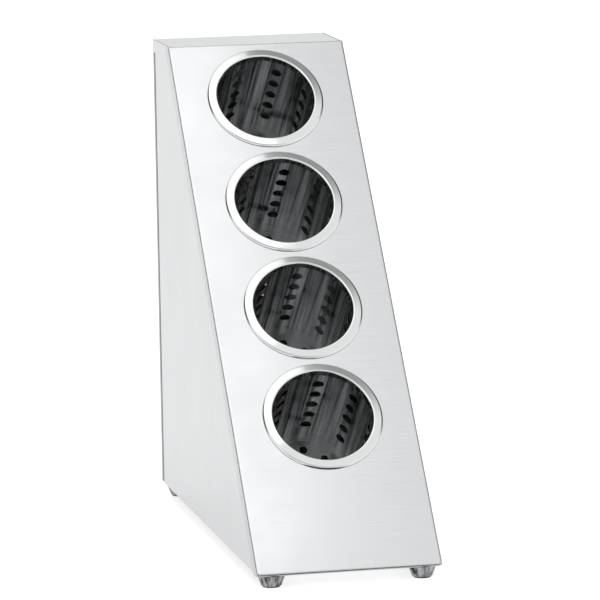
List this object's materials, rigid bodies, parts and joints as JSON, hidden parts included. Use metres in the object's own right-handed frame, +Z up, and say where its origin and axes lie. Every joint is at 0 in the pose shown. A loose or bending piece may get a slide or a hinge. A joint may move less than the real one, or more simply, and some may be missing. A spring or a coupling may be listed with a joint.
{
  "type": "cutlery dispenser",
  "caption": "Free-standing wedge-shaped steel housing whose slanted front holds perforated cutlery cylinders, each hung by its rim and lifting straight out.",
  "frame": {"origin": "on the counter, in the middle of the part's footprint", "axes": "+Z up, the slanted front with the cylinders faces -Y, +X to the right as seen from the front"},
  "size_m": [0.182, 0.487, 0.478],
  "materials": {
    "brushed_sheet": "fine brushed stainless steel sheet with a soft sheen",
    "cylinder_steel": "rolled and perforated stainless steel, smooth drawn finish",
    "polished_rim": "mirror-polished stainless steel",
    "foot_steel": "polished pressed steel",
    "fasteners": "plain stainless fasteners",
    "rubber": "matt black rubber"
  },
  "bodies": {
    "housing": {"front_panel": "brushed_sheet", "top_panel": "brushed_sheet", "side_panel_left": "brushed_sheet", "side_panel_right": "brushed_sheet", "rear_cover": "brushed_sheet", "base_plate": "brushed_sheet", "foot_front_left": "foot_steel", "foot_front_right": "foot_steel", "foot_back_left": "foot_steel", "foot_back_right": "foot_steel", "foot_pads": "rubber", "foot_screws": "fasteners", "foot_washers": "fasteners", "foot_nuts": "fasteners", "cover_screws": "fasteners", "cover_standoffs": "fasteners"},
    "cylinder_1": {"cylinder_1_tube": "cylinder_steel", "cylinder_1_base": "cylinder_steel", "cylinder_1_rim": "polished_rim"},
    "cylinder_2": {"cylinder_2_tube": "cylinder_steel", "cylinder_2_base": "cylinder_steel", "cylinder_2_rim": "polished_rim"},
    "cylinder_3": {"cylinder_3_tube": "cylinder_steel", "cylinder_3_base": "cylinder_steel", "cylinder_3_rim": "polished_rim"},
    "cylinder_4": {"cylinder_4_tube": "cylinder_steel", "cylinder_4_base": "cylinder_steel", "cylinder_4_rim": "polished_rim"}
  },
  "joints": [
    {"name": "cylinder_1_lift", "type": "slide", "parent": "housing", "child": "cylinder_1", "axis": [0, -0.7604, 0.6494], "range_m": [0, 0.125]},
    {"name": "cylinder_2_lift", "type": "slide", "parent": "housing", "child": "cylinder_2", "axis": [0, -0.7604, 0.6494], "range_m": [0, 0.125]},
    {"name": "cylinder_3_lift", "type": "slide", "parent": "housing", "child": "cylinder_3", "axis": [0, -0.7604, 0.6494], "range_m": [0, 0.125]},
    {"name": "cylinder_4_lift", "type": "slide", "parent": "housing", "child": "cylinder_4", "axis": [0, -0.7604, 0.6494], "range_m": [0, 0.125]}
  ]
}
